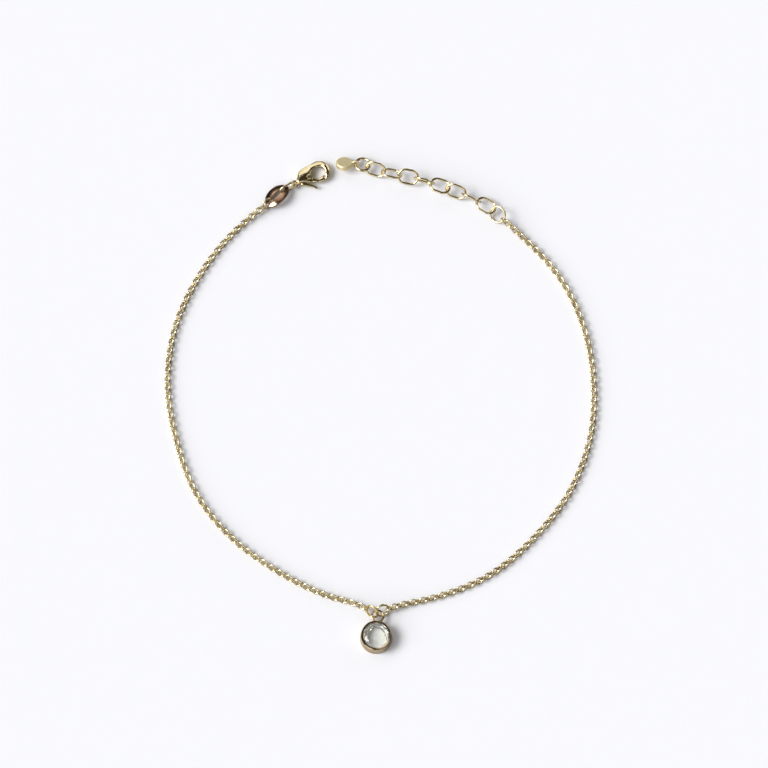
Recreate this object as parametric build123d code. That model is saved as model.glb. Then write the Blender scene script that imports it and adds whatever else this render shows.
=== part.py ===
from build123d import *
import os
from collections import namedtuple
from math import acos, atan2, cos, degrees, hypot, radians, sin

os.makedirs("parts", exist_ok=True)

# A fine cable-chain anklet that lies open on a flat surface at z = 0, in millimetres.
# Every place is measured from the middle of the laid loop, with +X to the right and
# +Y towards the clasp. LOOP_MIDDLE then puts the origin under the middle of the whole.
LOOP_MIDDLE = (0.27, 4.16)

# Wires that hook into each other keep this much free space between them.
PLAY = 0.12
RING_PLAY = 0.15

# Fine cable chain
CHAIN_WIRE = 0.35
CHAIN_LINK_WIDTH = 1.56
CHAIN_PITCH = 0.98
CHAIN_ROLL = 45.0  # each link leans this far to one side, the next one to the other
CHAIN_HEIGHT = 0.605  # of the chain's middle line, so that every link touches the surface
CHAIN_RAMP = 6.5  # length over which an end of the chain climbs to its ring

# Extension chain
EXTENDER_WIRE = 0.48
EXTENDER_LINK_WIDTH = 3.30
EXTENDER_PITCH = 3.36

# Jump rings: mean radius of the wire's middle line, and the wire's diameter
END_RING_RADIUS, END_RING_WIRE = 1.50, 0.56
RIGHT_RING_RADIUS, RIGHT_RING_WIRE = 1.62, 0.40
LEFT_RING_RADIUS, LEFT_RING_WIRE = 1.16, 0.40
PENDANT_RING_RADIUS, PENDANT_RING_WIRE = 1.28, 0.42

# Tag plate: a shallow domed oval with a lengthwise slot
PLATE_LENGTH, PLATE_WIDTH, PLATE_THICKNESS = 5.80, 3.80, 0.38
PLATE_DOME_RADIUS = 6.5
SLOT_LENGTH, SLOT_WIDTH = 4.40, 0.90
PLATE_LINK_LENGTH, PLATE_LINK_WIDTH, PLATE_LINK_WIRE = 3.77, 2.40, 0.42

# Lobster clasp, in its own plane: +X runs from the tail ring to the head
CLASP_THICKNESS = 1.90
CLASP_ROUNDING = 0.56
CLASP_DOME_RADIUS = 4.2  # its two faces are crowned across, about the line of its head
MOUTH_ROUNDING = 0.20
TAIL_RADIUS, TAIL_WIRE = 0.62, 0.44
NECK_AT, NECK_RADIUS = (1.15, 0.15), 0.62
SHOULDER_AT, SHOULDER_RADIUS = (2.65, 0.75), 1.48
HEAD_AT, HEAD_RADIUS = (5.62, 0.48), 2.14
MOUTH_AT, MOUTH_HALF_LENGTH, MOUTH_HALF_WIDTH = (5.27, 0.39), 1.45, 1.17
PIVOT_AT, PIN_RADIUS = (2.35, -0.05), 0.24
LEVER_THICKNESS = 0.94
LEVER_SIDE_GAP = 0.10
LEVER_ROOT_RADIUS = 0.55
TAB_START, TAB_BEND, TAB_END = (1.45, -0.56), (2.85, -1.42), (3.82, -2.36)
TAB_RADIUS, TAB_END_RADIUS = 0.27, 0.22
LEVER_REACH = 4.10  # from the pin to the end of the arm
LEVER_TRAVEL = 20.0  # degrees, inwards
RUNNING_GAP = 0.05  # between the pin and the lever
SPLIT_GAP = 0.14  # between the lever's edges and the body's

# End disc and its soldered eye
DISC_RADIUS, DISC_THICKNESS, DISC_ROUNDING = 1.65, 1.10, 0.28
EYE_RADIUS, EYE_WIRE = 0.62, 0.34

# Pendant: a round bezel, open at its back, with a cut stone and a soldered loop
BEZEL_BASE_RADIUS, BEZEL_LIP_RADIUS, BEZEL_HEIGHT = 3.22, 3.02, 2.60
BACK_OPENING_RADIUS, SEAT_START, SEAT_END = 2.56, 1.50, 1.90
BEZEL_INNER_RADIUS, LIP_INNER_RADIUS = 2.74, 2.60
LIP_THICKNESS = 0.34
STONE_BASE = 0.40  # height of the stone's flat back
BEZEL_LOOP_RADIUS, BEZEL_LOOP_WIRE, BEZEL_LOOP_HEIGHT = 1.158, 0.40, 1.293
BEZEL_LOOP_TURN = 85.74  # where the loop is soldered, in degrees from +X
STONE_RADIUS, TABLE_RADIUS, BACK_RADIUS = 2.64, 1.96, 1.70
CROWN_HEIGHT, GIRDLE_HEIGHT, PAVILION_HEIGHT = 0.60, 0.16, 1.56

# Where the pieces lie: the middle, the heading of the long way, and the lean about it
Pose = namedtuple("Pose", "x y z heading roll pitch")
PENDANT_POSE = Pose(-1.18, -52.20, 0.0, 0.0, 0.0, 0.0)
PENDANT_RING_LEFT_POSE = Pose(-1.963, -47.133, 1.644, 98.29, -36.15, 45.60)
PENDANT_RING_RIGHT_POSE = Pose(0.10, -46.834, 1.415, 9.0, -131.45, -20.73)
LEFT_RING_POSE = Pose(-22.98, 37.31, 1.25, 37.2, 61.9, -6.1)
PLATE_POSE = Pose(-21.20, 39.11, 1.51, 44.5, -21.8, 0.0)
PLATE_LINK_POSE = Pose(-19.02, 40.65, 1.24, 31.3, 74.0, -4.8)
CLASP_POSE = Pose(-17.60, 41.45, 0.95, 22.5, 0.0, 0.0)
DISC_POSE = Pose(-7.60, 45.56, 1.43, 0.0, -34.0, 0.0)
END_RING_POSE = Pose(-3.871, 45.419, 1.464, 0.0, -21.5, 0.0)
RIGHT_RING_HEADING, RIGHT_RING_HEIGHT, RIGHT_RING_ROLL = -49.5, 1.40, 35.6

# Where each ring takes the fine chain: the angle in the ring's own plane
PENDANT_RING_LEFT_JOINT, PENDANT_RING_RIGHT_JOINT = 68.8, -16.9
LEFT_RING_JOINT, RIGHT_RING_JOINT = 188.6, 4.0

# The extension chain from the end ring to the right ring, link by link: its heading, the
# height of its far end and how far it leans over
ExtenderLink = namedtuple("ExtenderLink", "heading end_height roll")
EXTENDER_START_ANGLE, EXTENDER_START_HEIGHT = -32.7, 1.556
EXTENDER = [
    ExtenderLink(-16.8, 1.771, 45.1),
    ExtenderLink(-13.7, 1.871, -44.0),
    ExtenderLink(-11.1, 1.878, 30.0),
    ExtenderLink(-16.8, 1.939, -83.8),
    ExtenderLink(-20.3, 1.855, -14.6),
    ExtenderLink(-20.1, 1.708, 47.4),
    ExtenderLink(-25.6, 1.632, -76.5),
    ExtenderLink(-29.7, 1.325, -13.9),
]

# The line that the fine chain lies along, from the right ring round by the pendant to the
# left ring: the angle from +X and the distance from the middle of the loop
Station = namedtuple("Station", "angle radius")
RIGHT_STATIONS = [
    Station(46, 41.50),
    Station(31, 41.85),
    Station(15, 42.00),
    Station(0, 42.30),
    Station(-16, 43.05),
    Station(-31, 43.55),
    Station(-46, 43.85),
    Station(-61, 44.80),
    Station(-75, 45.15),
    Station(-84, 45.60),
]
LEFT_STATIONS = [
    Station(-98, 45.45),
    Station(-104, 44.95),
    Station(-119, 43.85),
    Station(-134, 43.65),
    Station(-149, 43.45),
    Station(-164, 42.75),
    Station(-180, 42.90),
    Station(-195, 43.05),
    Station(-211, 42.95),
    Station(-226, 43.30),
]


# Small helpers -----------------------------------------------------------------------


def vector_at(angle, length=1.0, height=0.0):
    """A vector of that length in the XY plane, at an angle from +X, and a height."""
    return Vector(length * cos(radians(angle)), length * sin(radians(angle)), height)


def plane_between(start, end, roll):
    """The plane midway between two places, X along them, leaning by roll about X."""
    along = (end - start).normalized()
    side = Vector(0, 0, 1).cross(along).normalized()
    upright = along.cross(side)
    normal = upright * cos(radians(roll)) - side * sin(radians(roll))
    return Plane(origin=(start + end) / 2, x_dir=along, z_dir=normal)


def plane_of(pose):
    """The plane of a piece that lies in a pose."""
    middle = Vector(pose.x, pose.y, pose.z)
    half = vector_at(pose.heading, cos(radians(pose.pitch)), sin(radians(pose.pitch)))
    return plane_between(middle - half, middle + half, pose.roll)


def ring(radius, wire):
    """A closed round ring in the XY plane."""
    return Torus(radius, wire / 2)


def oval_link(length, width, wire):
    """A closed oval link in the XY plane, its long way along X."""
    bend = (width - wire) / 2
    line = SlotCenterToCenter(length - width, 2 * bend).wire()
    section = Plane(origin=line @ 0, z_dir=line % 0) * Circle(wire / 2)
    return sweep(section, path=line)


def joint_on(plane, radius, wire, other_wire, angle):
    """Where a ring takes the next piece's wire, at an angle in the ring's own plane."""
    inset = ((wire + other_wire) / 2 + RING_PLAY) / 2
    return plane.from_local_coords(vector_at(angle, radius - inset))


def export(name, shape):
    """Writes one node, moved so that the origin is under the middle of the whole."""
    moved = Pos(*LOOP_MIDDLE, 0) * shape
    export_step(moved, f"parts/{name}.step")
    return moved


# Fine chain --------------------------------------------------------------------------


def smooth_radius(stations, angle):
    """The chain's distance from the middle at an angle, smooth through the stations."""
    last = len(stations) - 1
    step = next(i for i in range(last) if angle >= stations[i + 1].angle or i == last - 1)
    near, far = stations[step], stations[step + 1]
    before, after = stations[max(step - 1, 0)], stations[min(step + 2, last)]
    width = far.angle - near.angle
    slope_near = (far.radius - before.radius) / (far.angle - before.angle) * width
    slope_far = (after.radius - near.radius) / (after.angle - near.angle) * width
    t = (angle - near.angle) / width
    return (
        near.radius * (1 + 2 * t) * (1 - t) ** 2
        + slope_near * t * (1 - t) ** 2
        + far.radius * t * t * (3 - 2 * t)
        + slope_far * t * t * (t - 1)
    )


def station_at(place):
    """The station of a place, with its angle counted down from a half turn."""
    angle = degrees(atan2(place.Y, place.X))
    return Station(angle if angle < 90 else angle - 360, hypot(place.X, place.Y))


def chain_joints(stations, start_height, end_height):
    """The joints of an even number of links along the laid chain, climbing at both ends."""
    first, last = stations[0].angle, stations[-1].angle
    steps = 2000
    angles = [first + (last - first) * i / steps for i in range(steps + 1)]
    line = [vector_at(a, smooth_radius(stations, a)) for a in angles]
    reach = [0.0]
    for before, after in zip(line, line[1:]):
        reach.append(reach[-1] + (after - before).length)
    links = 2 * round(reach[-1] / CHAIN_PITCH / 2)
    joints, sample = [], 0
    for joint in range(links + 1):
        distance = reach[-1] * joint / links
        while sample < steps - 1 and reach[sample + 1] < distance:
            sample += 1
        part = (distance - reach[sample]) / (reach[sample + 1] - reach[sample])
        place = line[sample] + (line[sample + 1] - line[sample]) * part
        climb = (start_height - CHAIN_HEIGHT) * ramp(distance)
        climb += (end_height - CHAIN_HEIGHT) * ramp(reach[-1] - distance)
        joints.append(Vector(place.X, place.Y, CHAIN_HEIGHT + climb))
    return joints


def ramp(distance):
    """1 at an end of the chain, falling smoothly to 0 over the ramp's length."""
    t = max(0.0, 1 - distance / CHAIN_RAMP)
    return t * t * (3 - 2 * t)


def make_chain(joints, first_roll):
    """Every link of one half of the chain, each leaning the other way from the last."""
    pitch = sum((b - a).length for a, b in zip(joints, joints[1:])) / (len(joints) - 1)
    link = oval_link(pitch + 2 * CHAIN_WIRE + PLAY, CHAIN_LINK_WIDTH, CHAIN_WIRE)
    links = []
    for number, (start, end) in enumerate(zip(joints, joints[1:])):
        roll = -first_roll if number % 2 else first_roll
        links.append(plane_between(start, end, roll) * link)
    return links


# Findings ----------------------------------------------------------------------------


def make_plate():
    """The tag plate: a slice of a thin ball, oval from above, with a round-ended slot."""
    middle = PLATE_DOME_RADIUS - PLATE_THICKNESS / 2
    shell = Sphere(PLATE_DOME_RADIUS) - Sphere(PLATE_DOME_RADIUS - PLATE_THICKNESS)
    oval = Ellipse(PLATE_LENGTH / 2, PLATE_WIDTH / 2)
    slot = SlotOverall(SLOT_LENGTH, SLOT_WIDTH)
    column = extrude(oval - slot, PLATE_DOME_RADIUS + 1)
    return Pos(0, 0, -middle) * (shell & column)


def taper(start_at, start_radius, end_at, end_radius):
    """The flat shape of a belt round two circles: two arcs and their tangents."""
    start, end = Vector(*start_at), Vector(*end_at)
    heading = degrees(atan2(end.Y - start.Y, end.X - start.X))
    spread = degrees(acos((start_radius - end_radius) / (end - start).length))
    left, right = heading + spread, heading - spread
    belt = [
        ThreePointArc(
            start + vector_at(left, start_radius),
            start + vector_at(heading + 180, start_radius),
            start + vector_at(right, start_radius),
        ),
        Line(start + vector_at(right, start_radius), end + vector_at(right, end_radius)),
        ThreePointArc(
            end + vector_at(right, end_radius),
            end + vector_at(heading, end_radius),
            end + vector_at(left, end_radius),
        ),
        Line(end + vector_at(left, end_radius), start + vector_at(left, start_radius)),
    ]
    return make_face(belt)


def slab(outline, thickness):
    """A flat outline given a thickness, half of it on each side of its plane."""
    return extrude(Pos(0, 0, -thickness / 2) * outline, thickness)


def rim_edges(shape, thickness):
    """The edges of a slab's two faces."""
    return [e for e in shape.edges() if abs(abs(e.center().Z) - thickness / 2) < 1e-3]


def drop_outline():
    """The clasp's flat outline: a narrow neck, a full shoulder and a round head."""
    neck = taper(NECK_AT, NECK_RADIUS, SHOULDER_AT, SHOULDER_RADIUS)
    return neck + taper(SHOULDER_AT, SHOULDER_RADIUS, HEAD_AT, HEAD_RADIUS)


def mouth_outline():
    """The flat oval of the clasp's mouth."""
    return Pos(*MOUTH_AT) * Ellipse(MOUTH_HALF_LENGTH, MOUTH_HALF_WIDTH)


def mouth_rims(blank):
    """The upper and lower edges of the mouth's wall."""
    rims = []
    for edge in blank.edges():
        place = edge @ 0.5
        along = (place.X - MOUTH_AT[0]) / MOUTH_HALF_LENGTH
        across = (place.Y - MOUTH_AT[1]) / MOUTH_HALF_WIDTH
        if abs(place.Z) > 0.5 and abs(hypot(along, across) - 1) < 0.01:
            rims.append(edge)
    return rims


def clasp_blank():
    """The clasp's crowned drop with its mouth cut out, the lever's share included."""
    drop = slab(drop_outline(), CLASP_THICKNESS)
    drop = fillet(rim_edges(drop, CLASP_THICKNESS), CLASP_ROUNDING)
    for side in (1, -1):
        axis_height = side * (CLASP_THICKNESS / 2 - CLASP_DOME_RADIUS)
        crown = Cylinder(CLASP_DOME_RADIUS, 4 * HEAD_AT[0])
        drop &= Pos(HEAD_AT[0], HEAD_AT[1], axis_height) * Rot(0, 90, 0) * crown
    blank = drop - slab(mouth_outline(), 2 * CLASP_THICKNESS)
    return fillet(mouth_rims(blank), MOUTH_ROUNDING)


def lever_outline():
    """The flat shape of the sprung lever: root, arm to the hook's tip, and thumb tab."""
    root = taper(PIVOT_AT, LEVER_ROOT_RADIUS, (3.35, -0.62), 0.42)
    heel = taper(PIVOT_AT, LEVER_ROOT_RADIUS, (2.10, -0.80), 0.34)
    tab = taper(TAB_START, TAB_RADIUS, TAB_BEND, TAB_RADIUS - 0.001)
    tab += taper(TAB_BEND, TAB_RADIUS, TAB_END, TAB_END_RADIUS)
    return root + heel + tab + (drop_outline() & lever_share(0) - mouth_outline())


def lever_share(gap):
    """The part of the drop that the lever's arm takes, widened by a gap."""
    corners = [(3.10, 0.05), (5.30, 0.00), (6.05, -0.45), (6.40, -0.75), (6.4, -2.4), (2.75, -1.6)]
    share = make_face(Polyline(*corners, close=True)) & Pos(*PIVOT_AT) * Circle(LEVER_REACH)
    return offset(share, gap) if gap else share


def about_pin(turn):
    """The turn of the lever about its pin, in degrees inwards."""
    return Pos(*PIVOT_AT) * Rot(0, 0, turn) * Pos(-PIVOT_AT[0], -PIVOT_AT[1])


def make_clasp_body():
    """The hook with its cheeks, the riveted pin between them, and the tail ring."""
    wide_share = make_face(Polyline((3.1, 0.3), (6.4, 0.3), (7.4, -2.6), (2.75, -1.6), close=True))
    wide_share = wide_share & Pos(*PIVOT_AT) * Circle(LEVER_REACH)
    body = clasp_blank() - slab(offset(wide_share, SPLIT_GAP), 2 * CLASP_THICKNESS)
    room = slab(offset(lever_outline(), SPLIT_GAP), LEVER_THICKNESS + 2 * LEVER_SIDE_GAP)
    for turn in (0, LEVER_TRAVEL / 2, LEVER_TRAVEL):
        body -= about_pin(turn) * room
    pin = Pos(*PIVOT_AT) * Cylinder(PIN_RADIUS, CLASP_THICKNESS - 0.1)
    return body + pin + ring(TAIL_RADIUS, TAIL_WIRE)


def make_clasp_lever():
    """The sprung lever, its edges rounded, with the pin's hole in its root."""
    lever = slab(lever_outline(), LEVER_THICKNESS)
    return lever - Pos(*PIVOT_AT) * Cylinder(PIN_RADIUS + RUNNING_GAP, CLASP_THICKNESS)


def make_disc():
    """The end disc, round-edged and bare, with an eye soldered upright to its rim."""
    disc = Cylinder(DISC_RADIUS, DISC_THICKNESS)
    disc = fillet(disc.edges().filter_by(GeomType.CIRCLE), DISC_ROUNDING)
    eye = Pos(DISC_RADIUS + EYE_RADIUS - 0.05, 0, 0) * Rot(90, 0, 0) * ring(EYE_RADIUS, EYE_WIRE)
    return disc + eye


# Pendant -----------------------------------------------------------------------------


def make_bezel():
    """The bezel: tapered wall, seat and turned-in lip, with its soldered loop."""
    lip_start = BEZEL_HEIGHT - LIP_THICKNESS
    profile = Polyline(
        (BACK_OPENING_RADIUS, 0),
        (BEZEL_BASE_RADIUS, 0),
        (BEZEL_LIP_RADIUS, BEZEL_HEIGHT - 0.12),
        (BEZEL_LIP_RADIUS - 0.12, BEZEL_HEIGHT),
        (LIP_INNER_RADIUS, BEZEL_HEIGHT - 0.06),
        (LIP_INNER_RADIUS, lip_start),
        (BEZEL_INNER_RADIUS, lip_start - 0.10),
        (BEZEL_INNER_RADIUS, SEAT_END),
        (BACK_OPENING_RADIUS, SEAT_START),
        close=True,
    )
    wall = revolve(Plane.XZ * make_face(profile), Axis.Z)
    loop = Pos(*bezel_loop_middle()) * ring(BEZEL_LOOP_RADIUS, BEZEL_LOOP_WIRE)
    return wall + (loop - Cylinder(BEZEL_INNER_RADIUS, 2 * BEZEL_HEIGHT))


def bezel_loop_middle():
    """The middle of the soldered loop, measured from the middle of the bezel."""
    reach = BEZEL_BASE_RADIUS + BEZEL_LOOP_RADIUS - 0.12
    return vector_at(BEZEL_LOOP_TURN, reach, BEZEL_LOOP_HEIGHT)


def cut_facets(stone, count, first, lean, radius, height):
    """Cuts facets evenly round a stone, each leaning out from level by an angle."""
    for number in range(count):
        turn = first + 360 / count * number
        outward = vector_at(turn, sin(radians(lean)), cos(radians(lean)))
        facet = Plane(origin=vector_at(turn, radius, height), z_dir=outward)
        stone = split(stone, facet, keep=Keep.BOTTOM)
    return stone


def make_stone():
    """The cut stone: table, star, main and girdle facets above, two rows and a flat back."""
    girdle_top = PAVILION_HEIGHT + GIRDLE_HEIGHT
    top = girdle_top + CROWN_HEIGHT
    stone = Cylinder(STONE_RADIUS, top, align=(Align.CENTER, Align.CENTER, Align.MIN))
    crown_lean = degrees(atan2(CROWN_HEIGHT, STONE_RADIUS - TABLE_RADIUS))
    stone = cut_facets(stone, 8, 0, crown_lean, TABLE_RADIUS, top)
    stone = cut_facets(stone, 16, 11.25, crown_lean + 5, STONE_RADIUS, girdle_top)
    stone = cut_facets(stone, 8, 22.5, crown_lean - 14, TABLE_RADIUS * cos(radians(22.5)), top)
    back_lean = 180 - degrees(atan2(PAVILION_HEIGHT, STONE_RADIUS - BACK_RADIUS))
    stone = cut_facets(stone, 8, 0, back_lean, STONE_RADIUS, PAVILION_HEIGHT)
    return cut_facets(stone, 16, 11.25, back_lean - 4, STONE_RADIUS, PAVILION_HEIGHT)


# Assembly ----------------------------------------------------------------------------


def build_pendant():
    """Writes the pendant and its two jump rings; returns where these take the chain."""
    pendant = Pos(PENDANT_POSE.x, PENDANT_POSE.y, 0)
    export("pendant_bezel", pendant * make_bezel())
    export("pendant_stone", pendant * Pos(0, 0, STONE_BASE) * make_stone())
    joints = []
    for side, pose, angle in (
        ("left", PENDANT_RING_LEFT_POSE, PENDANT_RING_LEFT_JOINT),
        ("right", PENDANT_RING_RIGHT_POSE, PENDANT_RING_RIGHT_JOINT),
    ):
        plane = plane_of(pose)
        export(f"pendant_ring_{side}", plane * ring(PENDANT_RING_RADIUS, PENDANT_RING_WIRE))
        wires = (PENDANT_RING_RADIUS, PENDANT_RING_WIRE, CHAIN_WIRE)
        joints.append(joint_on(plane, *wires, angle))
    return joints


def build_clasp_end():
    """Writes the left ring, tag plate, plate link and clasp; returns the chain's joint."""
    left_plane = plane_of(LEFT_RING_POSE)
    export("left_ring", left_plane * ring(LEFT_RING_RADIUS, LEFT_RING_WIRE))
    export("tag_plate", plane_of(PLATE_POSE) * make_plate())
    plate_link = oval_link(PLATE_LINK_LENGTH, PLATE_LINK_WIDTH, PLATE_LINK_WIRE)
    export("plate_link", plane_of(PLATE_LINK_POSE) * plate_link)
    export("clasp_body", plane_of(CLASP_POSE) * make_clasp_body())
    export("clasp_lever", plane_of(CLASP_POSE) * make_clasp_lever())
    return joint_on(left_plane, LEFT_RING_RADIUS, LEFT_RING_WIRE, CHAIN_WIRE, LEFT_RING_JOINT)


def build_extender():
    """Writes the end disc, extension chain and right ring; returns the chain's joint."""
    export("end_disc", plane_of(DISC_POSE) * make_disc())
    end_plane = plane_of(END_RING_POSE)
    export("end_ring", end_plane * ring(END_RING_RADIUS, END_RING_WIRE))
    wires = (END_RING_RADIUS, END_RING_WIRE, EXTENDER_WIRE)
    start = joint_on(end_plane, *wires, EXTENDER_START_ANGLE)
    start = Vector(start.X, start.Y, EXTENDER_START_HEIGHT)
    length = EXTENDER_PITCH + 2 * EXTENDER_WIRE + PLAY
    link = oval_link(length, EXTENDER_LINK_WIDTH, EXTENDER_WIRE)
    for number, row in enumerate(EXTENDER, start=1):
        rise = row.end_height - start.Z
        end = start + vector_at(row.heading, (EXTENDER_PITCH**2 - rise**2) ** 0.5, rise)
        export(f"extender_link_{number}", plane_between(start, end, row.roll) * link)
        start = end
    inset = ((RIGHT_RING_WIRE + EXTENDER_WIRE) / 2 + RING_PLAY) / 2
    middle = start + vector_at(RIGHT_RING_HEADING, RIGHT_RING_RADIUS - inset)
    lean = (RIGHT_RING_HEADING, RIGHT_RING_ROLL, 0.0)
    right_plane = plane_of(Pose(middle.X, middle.Y, RIGHT_RING_HEIGHT, *lean))
    export("right_ring", right_plane * ring(RIGHT_RING_RADIUS, RIGHT_RING_WIRE))
    wires = (RIGHT_RING_RADIUS, RIGHT_RING_WIRE, CHAIN_WIRE)
    return joint_on(right_plane, *wires, RIGHT_RING_JOINT)


def build_chain_half(name, start, middle_stations, end, first_roll):
    """Writes one half of the fine chain between two joints, and says how many links."""
    stations = [station_at(start), *middle_stations, station_at(end)]
    links = make_chain(chain_joints(stations, start.Z, end.Z), first_roll)
    export(name, Compound(links))
    print(name, len(links), "links")


def main():
    """Builds every piece and writes one file for each node."""
    left_start, right_end = build_pendant()
    left_end = build_clasp_end()
    right_start = build_extender()
    build_chain_half("chain_right", right_start, RIGHT_STATIONS, right_end, -CHAIN_ROLL)
    build_chain_half("chain_left", left_start, LEFT_STATIONS, left_end, CHAIN_ROLL)


main()
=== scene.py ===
"""Looks for a fine gold charm anklet that lies open on a pale surface.

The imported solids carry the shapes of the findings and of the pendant. Here they get their
finishes, the two halves of the fine cable chain are made link by link, and a plain studio
with a camera is set round them.
"""

import logging
import math
from dataclasses import dataclass
from enum import Enum
from typing import NamedTuple, Optional, Sequence

import bmesh
import bpy
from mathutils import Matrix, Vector


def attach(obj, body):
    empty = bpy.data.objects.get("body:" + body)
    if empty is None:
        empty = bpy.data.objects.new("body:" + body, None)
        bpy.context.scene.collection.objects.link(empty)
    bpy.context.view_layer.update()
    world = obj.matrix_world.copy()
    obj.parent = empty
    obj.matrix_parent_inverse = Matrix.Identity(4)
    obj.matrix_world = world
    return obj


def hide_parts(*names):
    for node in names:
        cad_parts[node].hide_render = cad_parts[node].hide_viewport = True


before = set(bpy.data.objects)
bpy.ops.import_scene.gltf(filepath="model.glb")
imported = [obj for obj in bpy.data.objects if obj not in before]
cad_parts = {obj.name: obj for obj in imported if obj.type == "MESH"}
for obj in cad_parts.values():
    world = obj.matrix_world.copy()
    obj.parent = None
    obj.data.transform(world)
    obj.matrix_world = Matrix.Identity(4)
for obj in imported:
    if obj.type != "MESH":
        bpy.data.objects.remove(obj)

LOG = logging.getLogger("anklet")
MM = 0.001  # one millimetre, in metres
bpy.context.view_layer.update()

# the noise in the finishes, in waves to the metre, and where the two tones of gold stand in it
TONE_WAVES = 420.0
POLISH_WAVES = 1300.0
HAZE_WAVES = 2200.0
TONE_STOPS = (0.32, 0.68)

# sockets of a Mix node that mixes colours
MIX_SHARE, MIX_FIRST, MIX_SECOND, MIX_RESULT = 0, 6, 7, 2

CHAIN_PITCH = 0.98  # from one link of the fine chain to the next, in mm
CLASP_SIDE = 90.0  # angles past the loop's open side count on from the other end, in degrees

WELD_DISTANCE = 1e-6  # corners nearer than this are one, in metres
SLICE_SLACK = 1e-8  # corners nearer than this to a cut lie on it, in metres
FLAT_WITHIN = 0.5  # faces that turn by less than this are one face, in degrees
WELD_SHARE = 12  # after slicing, corners nearer than a cell over this are one
PAST_CORE = 1.01  # corners past the core's height times this are on a broad face


class Station(NamedTuple):
    """A place on the laid chain, seen from the middle of the loop, in degrees and mm."""

    angle: float
    radius: float


class Surface(Enum):
    """How a gold piece is finished; some finishes carry painted light or shade in their tone."""

    POLISHED = "polished"
    DRAWN_WIRE = "drawn_wire"
    SATIN_LIGHTENED = "satin"
    BRUSHED_SHADED = "brushed"
    SHADED_BEZEL = "bezel_shade"
    RING = "ring"


# Helpers -----------------------------------------------------------------------------


class Graph:
    """A short way to add nodes to a tree and join them."""

    def __init__(self, tree: bpy.types.NodeTree) -> None:
        """Keeps the tree that the nodes go into.

        Args:
            tree: a shader, world or geometry tree.
        """
        self.tree = tree

    def add(self, kind: str, inputs: Optional[dict] = None, **settings: object) -> bpy.types.Node:
        """Adds a node.

        Args:
            kind: the node's type name.
            inputs: what goes into its sockets, by name or number: a value or a socket.
            settings: the node's own properties.

        Returns:
            The new node.
        """
        node = self.tree.nodes.new(kind)
        for name, value in settings.items():
            setattr(node, name, value)
        for name, value in (inputs or {}).items():
            if isinstance(value, bpy.types.NodeSocket):
                self.tree.links.new(value, node.inputs[name])
            else:
                node.inputs[name].default_value = value
        return node

    def join(self, source: bpy.types.NodeSocket, target: bpy.types.NodeSocket) -> None:
        """Joins an output to an input."""
        self.tree.links.new(source, target)


def direction_to(azimuth: float, elevation: float) -> tuple[float, float, float]:
    """The unit direction at an azimuth from +X and an elevation, both in degrees."""
    turn, rise = math.radians(azimuth), math.radians(elevation)
    return (math.cos(turn) * math.cos(rise), math.sin(turn) * math.cos(rise), math.sin(rise))


def put_in_scene(name: str, data: bpy.types.ID) -> bpy.types.Object:
    """Makes an object of a mesh, a lamp or a camera, and links it to the scene."""
    thing = bpy.data.objects.new(name, data)
    bpy.context.scene.collection.objects.link(thing)
    return thing


def baked_mesh(carrier: bpy.types.Object, name: str) -> bpy.types.Mesh:
    """Turns an object with modifiers into a plain mesh.

    Args:
        carrier: the object, which is removed with its own mesh.
        name: the name of the new mesh.

    Returns:
        The mesh that the modifiers made.
    """
    source = carrier.data
    graph = bpy.context.evaluated_depsgraph_get()
    mesh = bpy.data.meshes.new_from_object(carrier.evaluated_get(graph))
    bpy.data.objects.remove(carrier)
    bpy.data.meshes.remove(source)
    mesh.name = name
    return mesh


# Finishes ----------------------------------------------------------------------------


@dataclass(frozen=True)
class GoldFinish:
    """Pale gold plate, with the small differences in tone and polish of a worn piece."""

    name: str
    light: tuple[float, float, float]
    deep: tuple[float, float, float]
    smooth: float
    rough: float
    grain_mm: float
    grain_depth_mm: float
    grain_turn: float = 0.0
    grain_stretch: float = 1.0

    def build(self) -> bpy.types.Material:
        """Makes the material.

        Returns:
            A metal material that reads object coordinates.
        """
        material = bpy.data.materials.new(self.name)
        material.use_nodes = True
        material.node_tree.nodes.clear()
        graph = Graph(material.node_tree)
        place = graph.add("ShaderNodeTexCoord").outputs["Object"]
        cloud = graph.add(
            "ShaderNodeTexNoise", {"Vector": place, "Scale": TONE_WAVES, "Detail": 3.0}
        ).outputs["Fac"]
        tone = graph.add("ShaderNodeValToRGB", {"Fac": cloud})
        stops = zip(tone.color_ramp.elements, TONE_STOPS, (self.deep, self.light))
        for stop, position, colour in stops:
            stop.position, stop.color = position, (*colour, 1)
        smear = graph.add(
            "ShaderNodeTexNoise", {"Vector": place, "Scale": POLISH_WAVES, "Detail": 4.0}
        ).outputs["Fac"]
        polish = graph.add(
            "ShaderNodeMapRange",
            {
                "Value": smear,
                "From Min": 0.3,
                "From Max": 0.7,
                "To Min": self.smooth,
                "To Max": self.rough,
            },
        ).outputs["Result"]
        turned = graph.add(
            "ShaderNodeMapping",
            {"Vector": place, "Rotation": (0.0, 0.0, -math.radians(self.grain_turn))},
        ).outputs[0]
        combed = graph.add(
            "ShaderNodeMapping", {"Vector": turned, "Scale": (1.0 / self.grain_stretch, 1.0, 1.0)}
        ).outputs[0]
        grain = graph.add(
            "ShaderNodeTexNoise",
            {"Vector": combed, "Scale": 1000.0 / self.grain_mm, "Detail": 2.0, "Roughness": 0.6},
        ).outputs["Fac"]
        bump = graph.add(
            "ShaderNodeBump",
            {"Strength": 1.0, "Distance": self.grain_depth_mm * MM, "Height": grain},
        ).outputs["Normal"]
        metal = graph.add(
            "ShaderNodeBsdfPrincipled",
            {
                "Base Color": tone.outputs["Color"],
                "Metallic": 1.0,
                "Roughness": polish,
                "Normal": bump,
            },
        )
        output = graph.add("ShaderNodeOutputMaterial")
        graph.join(metal.outputs["BSDF"], output.inputs["Surface"])
        return material


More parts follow.
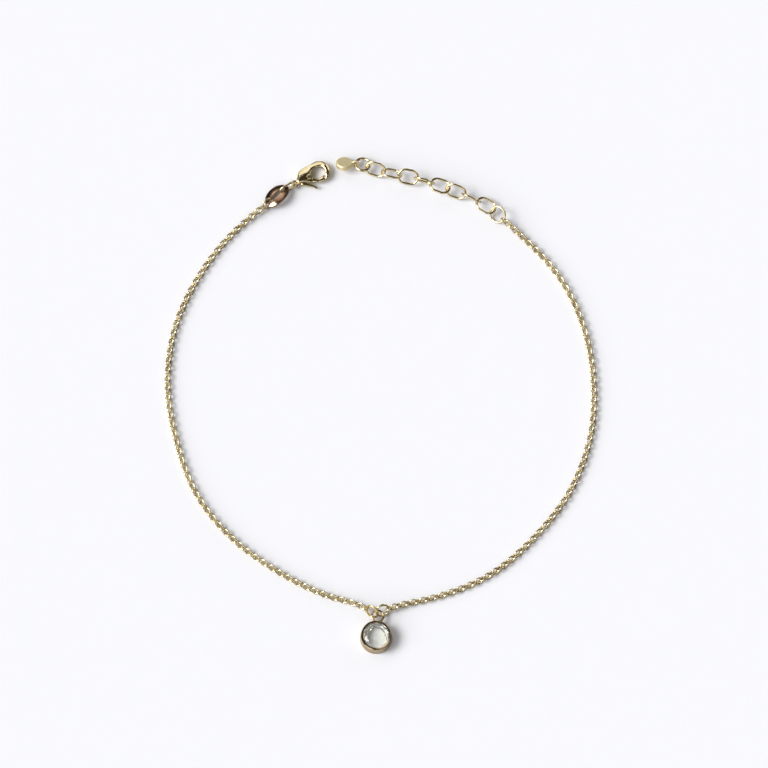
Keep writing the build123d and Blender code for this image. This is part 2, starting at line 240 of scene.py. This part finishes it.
@dataclass(frozen=True)
class StoneFinish:
    """Cut crystal, a little milky, which lets light through to what lies under it."""

    name: str
    tint: tuple[float, float, float]
    ior: float
    clearness: float
    shade: tuple[float, float, float] = (0.94, 0.95, 0.94)
    roughest: float = 0.03

    def build(self) -> bpy.types.Material:
        """Makes the material.

        Returns:
            A nearly clear glass material.
        """
        material = bpy.data.materials.new(self.name)
        material.use_nodes = True
        material.node_tree.nodes.clear()
        graph = Graph(material.node_tree)
        place = graph.add("ShaderNodeTexCoord").outputs["Object"]
        haze = graph.add(
            "ShaderNodeTexNoise", {"Vector": place, "Scale": HAZE_WAVES, "Detail": 3.0}
        ).outputs["Fac"]
        polish = graph.add(
            "ShaderNodeMapRange",
            {
                "Value": haze,
                "From Min": 0.5,
                "From Max": 0.8,
                "To Min": 0.0,
                "To Max": self.roughest,
            },
        ).outputs["Result"]
        glass = graph.add(
            "ShaderNodeBsdfPrincipled",
            {
                "Base Color": (*self.tint, 1),
                "Roughness": polish,
                "IOR": self.ior,
                "Transmission Weight": self.clearness,
            },
        )
        clear = graph.add("ShaderNodeBsdfTransparent", {"Color": (*self.shade, 1)})
        shadow = graph.add("ShaderNodeLightPath").outputs["Is Shadow Ray"]
        mixed = graph.add(
            "ShaderNodeMixShader", {0: shadow, 1: glass.outputs["BSDF"], 2: clear.outputs["BSDF"]}
        )
        output = graph.add("ShaderNodeOutputMaterial")
        graph.join(mixed.outputs["Shader"], output.inputs["Surface"])
        return material


POLISHED_GOLD = GoldFinish(
    name="polished_gold",
    light=(0.86, 0.75, 0.48),
    deep=(0.70, 0.58, 0.33),
    smooth=0.05,
    rough=0.13,
    grain_mm=0.35,
    grain_depth_mm=0.0015,
)
DRAWN_GOLD = GoldFinish(
    name="drawn_wire_gold",
    light=(0.92, 0.82, 0.55),
    deep=(0.68, 0.57, 0.34),
    smooth=0.08,
    rough=0.18,
    grain_mm=0.20,
    grain_depth_mm=0.0020,
)
# painted light: the satin disc's gold is lighter than the rest, standing in for the light it
# catches; its roughness is the real satin finish
SATIN_LIGHTENED_GOLD = GoldFinish(
    name="satin_gold",
    light=(0.96, 0.86, 0.58),
    deep=(0.90, 0.78, 0.48),
    smooth=0.48,
    rough=0.60,
    grain_mm=0.12,
    grain_depth_mm=0.0040,
)
# darker and more coppery than plain gold plate, as the tag plate looks beside the rest: painted
# shade standing in for the dark room that the plate mirrors; the streaks are its real brushing
BRUSHED_SHADED_GOLD = GoldFinish(
    name="brushed_shaded_gold",
    light=(0.44, 0.29, 0.20),
    deep=(0.24, 0.14, 0.09),
    smooth=0.10,
    rough=0.18,
    grain_mm=0.10,
    grain_depth_mm=0.0022,
    grain_turn=44.5,
    grain_stretch=14.0,
)
# painted shade: the bezel's gold is darkened to stand in for the shaded floor and dim room that its
# wall and lip mirror
SHADED_BEZEL_GOLD = GoldFinish(
    name="shaded_bezel_gold",
    light=(0.66, 0.53, 0.34),
    deep=(0.38, 0.28, 0.16),
    smooth=0.06,
    rough=0.15,
    grain_mm=0.30,
    grain_depth_mm=0.0018,
)
RING_GOLD = GoldFinish(
    name="ring_gold",
    light=(0.84, 0.71, 0.36),
    deep=(0.60, 0.48, 0.20),
    smooth=0.06,
    rough=0.15,
    grain_mm=0.25,
    grain_depth_mm=0.0020,
)
CLEAR_STONE = StoneFinish("clear_stone", tint=(0.96, 0.985, 0.97), ior=1.56, clearness=0.92)

Finish = GoldFinish | StoneFinish


class Wardrobe:
    """Makes each finish once and puts it on pieces."""

    def __init__(self) -> None:
        """Starts with no finish made."""
        self.made: dict[str, bpy.types.Material] = {}
        self.gold = {
            Surface.POLISHED: POLISHED_GOLD,
            Surface.DRAWN_WIRE: DRAWN_GOLD,
            Surface.SATIN_LIGHTENED: SATIN_LIGHTENED_GOLD,
            Surface.BRUSHED_SHADED: BRUSHED_SHADED_GOLD,
            Surface.SHADED_BEZEL: SHADED_BEZEL_GOLD,
            Surface.RING: RING_GOLD,
        }

    def material(self, finish: Finish) -> bpy.types.Material:
        """The material of a finish, made on first use."""
        if finish.name not in self.made:
            self.made[finish.name] = finish.build()
        return self.made[finish.name]

    def dress(self, piece: bpy.types.Object, finish: Finish) -> None:
        """Puts one finish on every slot of a piece.

        Args:
            piece: a mesh object.
            finish: a gold or stone finish.
        """
        material = self.material(finish)
        if not piece.material_slots:
            piece.data.materials.append(material)
        for place in piece.material_slots:
            place.material = material
        LOG.info("%s: %s", piece.name, finish.name)


# Fine chain --------------------------------------------------------------------------


@dataclass(frozen=True)
class CableLink:
    """One closed oval link of round wire, in millimetres."""

    wire: float = 0.35
    width: float = 1.56
    play: float = 0.12
    lean: float = 45.0
    rounds: int = 14
    sides: int = 6

    def tree(self, material: bpy.types.Material) -> bpy.types.NodeTree:
        """Builds the node tree that hangs a link on every edge of a line.

        Args:
            material: what the links are made of.

        Returns:
            A geometry node group with named sizes.
        """
        tree = bpy.data.node_groups.new("cable_chain", "GeometryNodeTree")
        face = tree.interface
        face.new_socket("Line", in_out="INPUT", socket_type="NodeSocketGeometry")
        sizes = {
            "Pitch": CHAIN_PITCH,
            "Wire": self.wire,
            "Width": self.width,
            "Play": self.play,
            "Lean": self.lean,
        }
        for name, value in sizes.items():
            socket = face.new_socket(name, in_out="INPUT", socket_type="NodeSocketFloat")
            socket.default_value = value
        face.new_socket("Links", in_out="OUTPUT", socket_type="NodeSocketGeometry")
        graph = Graph(tree)
        start = graph.add("NodeGroupInput").outputs

        def maths(operation: str, *terms: object) -> bpy.types.NodeSocket:
            """The result of one sum on sockets or numbers."""
            node = graph.add("ShaderNodeMath", dict(enumerate(terms)), operation=operation)
            return node.outputs[0]

        # one link: a circle stretched along X, given the wire's round section
        bend = maths("MULTIPLY", maths("SUBTRACT", start["Width"], start["Wire"]), 0.5 * MM)
        wires = maths("MULTIPLY", start["Wire"], 2.0)
        length = maths("ADD", maths("ADD", start["Pitch"], wires), start["Play"])
        straight = maths("MULTIPLY", maths("SUBTRACT", length, start["Width"]), 0.5 * MM)
        circle = graph.add(
            "GeometryNodeCurvePrimitiveCircle", {"Resolution": self.rounds, "Radius": bend}
        )
        place = graph.add("GeometryNodeInputPosition").outputs[0]
        along = graph.add("ShaderNodeSeparateXYZ", {0: place}).outputs[0]
        shift = maths("MULTIPLY", maths("SIGN", along), straight)
        offset = graph.add("ShaderNodeCombineXYZ", {0: shift}).outputs[0]
        oval = graph.add(
            "GeometryNodeSetPosition", {"Geometry": circle.outputs[0], "Offset": offset}
        )
        half_wire = maths("MULTIPLY", start["Wire"], 0.5 * MM)
        section = graph.add(
            "GeometryNodeCurvePrimitiveCircle", {"Resolution": self.sides, "Radius": half_wire}
        )
        wire = graph.add("GeometryNodeCurveToMesh", {0: oval.outputs[0], 1: section.outputs[0]})
        smooth = graph.add(
            "GeometryNodeSetShadeSmooth", {"Geometry": wire.outputs[0], "Shade Smooth": True}
        )

        # one point for each edge, with its direction and its lean to alternate sides
        ends = graph.add("GeometryNodeInputMeshEdgeVertices").outputs
        run = graph.add(
            "ShaderNodeVectorMath",
            {0: ends["Position 2"], 1: ends["Position 1"]},
            operation="SUBTRACT",
        )
        number = graph.add("GeometryNodeInputIndex").outputs[0]
        odd = maths("MULTIPLY", maths("MODULO", number, 2.0), 2.0)
        lean = maths("MULTIPLY", maths("SUBTRACT", 1.0, odd), maths("RADIANS", start["Lean"]))
        frame_of_run = graph.add(
            "FunctionNodeAxesToRotation",
            {"Primary Axis": run.outputs[0], "Secondary Axis": (0.0, 0.0, 1.0)},
            primary_axis="X",
            secondary_axis="Z",
        )
        tip = graph.add("ShaderNodeCombineXYZ", {0: lean}).outputs[0]
        turned = graph.add(
            "FunctionNodeRotateRotation",
            {"Rotation": frame_of_run.outputs[0], "Rotate By": tip},
            rotation_space="LOCAL",
        )
        kept = graph.add("GeometryNodeCaptureAttribute", domain="EDGE")
        kept.capture_items.new("ROTATION", "Turn")
        graph.join(start["Line"], kept.inputs[0])
        graph.join(turned.outputs[0], kept.inputs[1])
        points = graph.add("GeometryNodeMeshToPoints", {"Mesh": kept.outputs[0]}, mode="EDGES")
        laid = graph.add(
            "GeometryNodeInstanceOnPoints",
            {
                "Points": points.outputs[0],
                "Instance": smooth.outputs[0],
                "Rotation": kept.outputs[1],
            },
        )
        solid = graph.add("GeometryNodeRealizeInstances", {0: laid.outputs[0]})
        dressed = graph.add(
            "GeometryNodeSetMaterial", {"Geometry": solid.outputs[0], "Material": material}
        )
        end = graph.add("NodeGroupOutput")
        graph.join(dressed.outputs[0], end.inputs[0])
        return tree


@dataclass
class FineChain:
    """One half of the laid cable chain, from ring to ring, in millimetres.

    The start, the end and the stations are seen from the middle of the loop. Heights are
    from the floor.
    """

    name: str
    node: str
    start: tuple[float, float, float]
    end: tuple[float, float, float]
    stations: Sequence[Station]
    link: CableLink = CableLink()
    pitch: float = CHAIN_PITCH
    height: float = 0.605
    ramp: float = 6.5
    middle: tuple[float, float] = (0.27, 4.16)
    samples: int = 2000

    def _line_stations(self) -> list[Station]:
        """All the stations, the two rings' joints included."""
        joints = []
        for x, y, _ in (self.start, self.end):
            angle = math.degrees(math.atan2(y, x))
            fallen = angle if angle < CLASP_SIDE else angle - 360
            joints.append(Station(fallen, math.hypot(x, y)))
        return [joints[0], *self.stations, joints[1]]

    def _radius_at(self, stations: Sequence[Station], angle: float) -> float:
        """The chain's distance from the middle at an angle, smooth through the stations.

        Args:
            stations: the places that the chain passes, in falling order of angle.
            angle: degrees from +X.

        Returns:
            A radius in millimetres.
        """
        last = len(stations) - 1
        step = next(i for i in range(last) if angle >= stations[i + 1].angle or i == last - 1)
        near, far = stations[step], stations[step + 1]
        before, after = stations[max(step - 1, 0)], stations[min(step + 2, last)]
        width = far.angle - near.angle
        slope_near = (far.radius - before.radius) / (far.angle - before.angle) * width
        slope_far = (after.radius - near.radius) / (after.angle - near.angle) * width
        t = (angle - near.angle) / width
        return (
            near.radius * (1 + 2 * t) * (1 - t) ** 2
            + slope_near * t * (1 - t) ** 2
            + far.radius * t * t * (3 - 2 * t)
            + slope_far * t * t * (t - 1)
        )

    def _climb(self, distance: float) -> float:
        """1 at an end of the chain, falling smoothly to 0 over the ramp's length."""
        t = max(0.0, 1 - distance / self.ramp)
        return t * t * (3 - 2 * t)

    def joints(self) -> list[Vector]:
        """Evenly spaced joints along the laid chain.

        Returns:
            The ends of the links in order, in metres.
        """
        stations = self._line_stations()
        first, last, steps = stations[0].angle, stations[-1].angle, self.samples
        line, reach = [], [0.0]
        for step in range(steps + 1):
            angle = first + (last - first) * step / steps
            radius = self._radius_at(stations, angle)
            turn = math.radians(angle)
            line.append(Vector((math.cos(turn), math.sin(turn), 0)) * radius)
            if step:
                reach.append(reach[-1] + (line[-1] - line[-2]).length)
        links = 2 * round(reach[-1] / self.pitch / 2)  # an even number
        places, sample = [], 0
        for joint in range(links + 1):
            distance = reach[-1] * joint / links
            while sample < steps - 1 and reach[sample + 1] < distance:
                sample += 1
            part = (distance - reach[sample]) / (reach[sample + 1] - reach[sample])
            place = line[sample].lerp(line[sample + 1], part)
            rise = (self.start[2] - self.height) * self._climb(distance)
            rise += (self.end[2] - self.height) * self._climb(reach[-1] - distance)
            x, y = place.x + self.middle[0], place.y + self.middle[1]
            places.append(Vector((x, y, self.height + rise)) * MM)
        return places

    def build(self, wardrobe: Wardrobe) -> bpy.types.Object:
        """Lays the links along the line and makes them one mesh.

        Args:
            wardrobe: gives the wire's finish.

        Returns:
            The finished half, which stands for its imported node.
        """
        places = self.joints()
        runs = [(number, number + 1) for number in range(len(places) - 1)]
        line = bpy.data.meshes.new(f"{self.name}_line")
        line.from_pydata([tuple(place) for place in places], runs, [])
        carrier = put_in_scene(f"{self.name}_carrier", line)
        tree = self.link.tree(wardrobe.material(wardrobe.gold[Surface.DRAWN_WIRE]))
        modifier = carrier.modifiers.new("links", "NODES")
        modifier.node_group = tree
        pitch = sum((b - a).length for a, b in zip(places, places[1:])) / len(runs) / MM
        for socket in tree.interface.items_tree:
            if socket.in_out == "INPUT" and socket.name == "Pitch":
                modifier[socket.identifier] = pitch
        mesh = baked_mesh(carrier, self.name)
        piece = put_in_scene(self.name, mesh)
        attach(piece, "anklet")
        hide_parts(self.node)
        LOG.info("%s: %d links, %d faces", self.name, len(runs), len(mesh.polygons))
        return piece


# Findings and pendant ----------------------------------------------------------------


@dataclass
class Findings:
    """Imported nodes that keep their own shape, and the finish that each one takes."""

    name: str
    surfaces: dict[str, Surface]

    def build(self, wardrobe: Wardrobe) -> None:
        """Dresses each node.

        Args:
            wardrobe: gives the finishes.
        """
        LOG.info("%s", self.name)
        for node, surface in self.surfaces.items():
            wardrobe.dress(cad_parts[node], wardrobe.gold[surface])


@dataclass
class RoundedPiece:
    """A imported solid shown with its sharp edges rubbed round, in millimetres."""

    name: str
    node: str
    body: str
    surface: Surface
    radius: float
    segments: int = 3
    sharp_from: float = 40.0

    def _merged(self) -> bpy.types.Mesh:
        """A closed copy of the node's mesh, its flat faces whole.

        Returns:
            A new mesh.
        """
        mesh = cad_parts[self.node].data.copy()
        shape = bmesh.new()
        shape.from_mesh(mesh)
        bmesh.ops.remove_doubles(shape, verts=shape.verts, dist=WELD_DISTANCE)
        bmesh.ops.dissolve_limit(
            shape, angle_limit=math.radians(FLAT_WITHIN), verts=shape.verts, edges=shape.edges
        )
        shape.to_mesh(mesh)
        shape.free()
        return mesh

    def _shape_faces(self, mesh: bpy.types.Mesh) -> None:
        """Leaves the faces as they are. A piece whose faces slope does more here."""

    def build(self, wardrobe: Wardrobe) -> bpy.types.Object:
        """Rounds the edges and dresses the piece.

        Args:
            wardrobe: gives the finishes.

        Returns:
            The finished piece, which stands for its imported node.
        """
        carrier = put_in_scene(f"{self.name}_carrier", self._merged())
        bevel = carrier.modifiers.new("edges", "BEVEL")
        bevel.width, bevel.segments = self.radius * MM, self.segments
        bevel.limit_method, bevel.angle_limit = "ANGLE", math.radians(self.sharp_from)
        mesh = baked_mesh(carrier, self.name)
        self._shape_faces(mesh)
        mesh.shade_smooth()
        mesh.set_sharp_from_angle(angle=math.radians(self.sharp_from))
        piece = put_in_scene(self.name, mesh)
        wardrobe.dress(piece, wardrobe.gold[self.surface])
        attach(piece, self.body)
        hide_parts(self.node)
        LOG.info("%s: %d faces", self.name, len(mesh.polygons))
        return piece


@dataclass
class CushionedPiece(RoundedPiece):
    """A packed flat casting whose broad faces slope to their rims, as polishing leaves them.

    The middle is the height halfway up the casting. The core is how far above and below it
    the sides stay as they are. The cell is the width of the squares that the mesh is cut into.
    """

    middle: float = 0.95
    core: float = 0.56
    cell: float = 0.11
    rounds: int = 60

    def _shape_faces(self, mesh: bpy.types.Mesh) -> None:
        """Divides the rounded mesh finely and lets its broad faces slope.

        Args:
            mesh: the mesh, which is changed.
        """
        shape = bmesh.new()
        shape.from_mesh(mesh)
        bmesh.ops.triangulate(shape, faces=shape.faces)
        for axis in (Vector((1, 0, 0)), Vector((0, 1, 0))):
            places = [axis.dot(corner.co) for corner in shape.verts]
            start, end = min(places), max(places)
            count = int((end - start) / (self.cell * MM))
            for index in range(1, count):
                self._slice(shape, axis, start + (end - start) * index / count)
        for side in (-1, 1):
            self._slice(shape, Vector((0, 0, 1)), (self.middle + side * self.core) * MM)
        bmesh.ops.remove_doubles(shape, verts=shape.verts, dist=self.cell * MM / WELD_SHARE)
        self._slope(shape)
        shape.to_mesh(mesh)
        shape.free()

    def _slice(self, shape: bmesh.types.BMesh, axis: Vector, level: float) -> None:
        """Divides the mesh where a plane crosses it.

        Args:
            shape: the mesh.
            axis: the direction that the plane faces.
            level: how far along the axis the plane is, in metres.
        """
        bmesh.ops.bisect_plane(
            shape,
            geom=[*shape.verts, *shape.edges, *shape.faces],
            dist=SLICE_SLACK,
            plane_co=axis * level,
            plane_no=axis,
        )

    def _slope(self, shape: bmesh.types.BMesh) -> None:
        """Lets the two broad faces sag towards their rims, up and down only.

        Args:
            shape: the mesh.
        """
        faces = [
            corner
            for corner in shape.verts
            if abs(corner.co.z - self.middle * MM) > self.core * MM * PAST_CORE
        ]
        for _ in range(self.rounds):
            bmesh.ops.smooth_vert(
                shape, verts=faces, factor=0.5, use_axis_x=False, use_axis_y=False, use_axis_z=True
            )


@dataclass
class Pendant:
    """The bezel-set stone and its two jump rings."""

    metal: Findings
    stone_node: str = "pendant_stone"

    def build(self, wardrobe: Wardrobe) -> None:
        """Dresses the metal and the stone.

        Args:
            wardrobe: gives the finishes.
        """
        self.metal.build(wardrobe)
        wardrobe.dress(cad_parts[self.stone_node], CLEAR_STONE)


# Studio ------------------------------------------------------------------------------


@dataclass
class Lamp:
    """A far lamp that shines evenly from one side, as wide as its angle."""

    name: str
    azimuth: float
    elevation: float
    width: float
    power: float

    def build(self) -> bpy.types.Object:
        """Hangs the lamp.

        Returns:
            The lamp's object.
        """
        data = bpy.data.lights.new(self.name, "SUN")
        data.angle, data.energy = math.radians(self.width), self.power
        lamp = put_in_scene(self.name, data)
        place = Vector(direction_to(self.azimuth, self.elevation))
        lamp.location = place
        lamp.rotation_euler = place.to_track_quat("Z", "Y").to_euler()
        return lamp


@dataclass(frozen=True)
class SoftBox:
    """A round soft box on the walls of the room, fading at its rim."""

    azimuth: float
    elevation: float
    inner: float
    outer: float
    level: float
    colour: tuple[float, float, float] = (1.0, 0.99, 0.97)

    def add_to(
        self, graph: Graph, direction: bpy.types.NodeSocket, light: bpy.types.NodeSocket
    ) -> bpy.types.NodeSocket:
        """Adds this box to the light of the room.

        Args:
            graph: the world's node tree.
            direction: the way that is looked in.
            light: what shines there so far.

        Returns:
            The light with the box in it.
        """
        middle = direction_to(self.azimuth, self.elevation)
        near = graph.add("ShaderNodeVectorMath", {0: direction, 1: middle}, operation="DOT_PRODUCT")
        share = graph.add(
            "ShaderNodeMapRange",
            {
                "Value": near.outputs["Value"],
                "From Min": math.cos(math.radians(self.outer)),
                "From Max": math.cos(math.radians(self.inner)),
            },
            interpolation_type="SMOOTHSTEP",
        )
        glow = graph.add(
            "ShaderNodeBackground", {"Color": (*self.colour, 1), "Strength": self.level}
        )
        mixed = graph.add(
            "ShaderNodeMixShader", {0: share.outputs["Result"], 1: light, 2: glow.outputs[0]}
        )
        return mixed.outputs[0]


@dataclass
class Studio:
    """Pale floor, one soft lamp, a dim room that the metal mirrors, and the camera.

    Lengths are in metres and angles in degrees. Mirror images show the floor in a darker
    colour than the camera sees: painted shade in what the metal mirrors.
    """

    floor_colour: tuple[float, float, float] = (0.85, 0.86, 0.91)
    painted_mirror_shade: tuple[float, float, float] = (0.58, 0.57, 0.56)
    floor_size: float = 6.0
    floor_drop: float = 2e-5
    floor_roughness: float = 0.9
    floor_shine: float = 0.1
    elevation: float = 75.0
    distance: float = 3.0
    view_width: float = 0.1536
    aim: tuple[float, float, float] = (0.00067, 0.00437, 0.0)
    sensor_mm: float = 36.0
    clip: tuple[float, float] = (0.1, 20.0)
    room_colour: tuple[float, float, float] = (1.0, 0.84, 0.66)
    room_level: float = 0.05
    boxes: Sequence[SoftBox] = (
        SoftBox(118, 40, 10, 27, 1.5),
        SoftBox(192, 34, 13, 30, 3.4),
        SoftBox(45, 22, 14, 28, 1.3),
        SoftBox(232, 22, 14, 28, 1.8),
        SoftBox(288, 40, 8, 22, 1.4),
    )
    lamps: Sequence[Lamp] = (Lamp("window", 178, 48, 30.0, 2.0),)

    def _floor(self) -> None:
        """Lays the floor just under the anklet."""
        half, low = self.floor_size / 2, -self.floor_drop
        mesh = bpy.data.meshes.new("floor")
        corners = [(-half, -half, low), (half, -half, low), (half, half, low), (-half, half, low)]
        mesh.from_pydata(corners, [], [(0, 1, 2, 3)])
        floor = put_in_scene("floor", mesh)
        material = bpy.data.materials.new("floor")
        material.use_nodes = True
        shader = material.node_tree.nodes["Principled BSDF"]
        graph = Graph(material.node_tree)
        # painted shade: glossy rays see the floor darker than the camera does, so the metal mirrors
        # shade there
        seen_by = graph.add("ShaderNodeLightPath").outputs["Is Glossy Ray"]
        colour = graph.add("ShaderNodeMix", data_type="RGBA")
        graph.join(seen_by, colour.inputs[MIX_SHARE])
        colour.inputs[MIX_FIRST].default_value = (*self.floor_colour, 1)
        colour.inputs[MIX_SECOND].default_value = (*self.painted_mirror_shade, 1)
        graph.join(colour.outputs[MIX_RESULT], shader.inputs["Base Color"])
        shader.inputs["Roughness"].default_value = self.floor_roughness
        shader.inputs["Specular IOR Level"].default_value = self.floor_shine
        mesh.materials.append(material)

    def _room(self) -> None:
        """A dim room with soft boxes round it, which the metal mirrors."""
        world = bpy.data.worlds.new("room")
        world.use_nodes = True
        world.node_tree.nodes.clear()
        graph = Graph(world.node_tree)
        direction = graph.add("ShaderNodeTexCoord").outputs["Generated"]
        light = graph.add(
            "ShaderNodeBackground", {"Color": (*self.room_colour, 1), "Strength": self.room_level}
        ).outputs[0]
        for box in self.boxes:
            light = box.add_to(graph, direction, light)
        output = graph.add("ShaderNodeOutputWorld")
        graph.join(light, output.inputs["Surface"])
        bpy.context.scene.world = world

    def _camera(self) -> None:
        """Puts the camera at its angle, with a long lens."""
        data = bpy.data.cameras.new("camera")
        data.sensor_width = self.sensor_mm
        data.lens = data.sensor_width * self.distance / self.view_width
        data.clip_start, data.clip_end = self.clip
        camera = put_in_scene("camera", data)
        rise = math.radians(self.elevation)
        back = Vector((0, -math.cos(rise), math.sin(rise)))
        camera.location = Vector(self.aim) + back * self.distance
        camera.rotation_euler = back.to_track_quat("Z", "Y").to_euler()
        bpy.context.scene.camera = camera

    def build(self) -> None:
        """Makes the whole studio."""
        self._floor()
        self._room()
        for lamp in self.lamps:
            lamp.build()
        self._camera()
        bpy.context.scene.view_settings.view_transform = "Standard"
        LOG.info("studio: %d lamps", len(self.lamps))


# The anklet --------------------------------------------------------------------------

RIGHT_ENDS = ((24.132, 34.036, 1.455), (1.042, -46.488, 1.278))
RIGHT_STATIONS = (
    Station(46, 41.50),
    Station(31, 41.85),
    Station(15, 42.00),
    Station(0, 42.30),
    Station(-16, 43.05),
    Station(-31, 43.55),
    Station(-46, 43.85),
    Station(-61, 44.80),
    Station(-75, 45.15),
    Station(-84, 45.60),
)
LEFT_ENDS = ((-2.812, -46.596, 1.516), (-23.655, 36.719, 1.227))
LEFT_STATIONS = (
    Station(-98, 45.45),
    Station(-104, 44.95),
    Station(-119, 43.85),
    Station(-134, 43.65),
    Station(-149, 43.45),
    Station(-164, 42.75),
    Station(-180, 42.90),
    Station(-195, 43.05),
    Station(-211, 42.95),
    Station(-226, 43.30),
)


def main() -> None:
    """Makes the anklet's pieces and the studio."""
    logging.basicConfig(level=logging.INFO, format="%(message)s")
    wardrobe = Wardrobe()
    FineChain(
        "fine_chain_right", "chain_right", *RIGHT_ENDS, RIGHT_STATIONS, CableLink(lean=-45.0)
    ).build(wardrobe)
    FineChain("fine_chain_left", "chain_left", *LEFT_ENDS, LEFT_STATIONS).build(wardrobe)
    Pendant(
        Findings(
            "pendant",
            {
                "pendant_bezel": Surface.SHADED_BEZEL,
                "pendant_ring_left": Surface.RING,
                "pendant_ring_right": Surface.RING,
            },
        )
    ).build(wardrobe)
    Findings(
        "clasp end", {"left_ring": Surface.POLISHED, "plate_link": Surface.POLISHED}
    ).build(wardrobe)
    RoundedPiece("brushed_tag_plate", "tag_plate", "anklet", Surface.BRUSHED_SHADED, 0.10).build(wardrobe)
    CushionedPiece("clasp_casting", "clasp_body", "anklet", Surface.POLISHED, 0.08).build(wardrobe)
    CushionedPiece(
        "sprung_lever", "clasp_lever", "lever", Surface.POLISHED, radius=0.12, core=0.14, rounds=50
    ).build(wardrobe)
    extender = {f"extender_link_{number}": Surface.POLISHED for number in range(1, 9)}
    ends = {"end_disc": Surface.SATIN_LIGHTENED, "end_ring": Surface.POLISHED, "right_ring": Surface.POLISHED}
    Findings("extension chain", {**ends, **extender}).build(wardrobe)
    Studio().build()


if __name__ == "__main__":
    main()
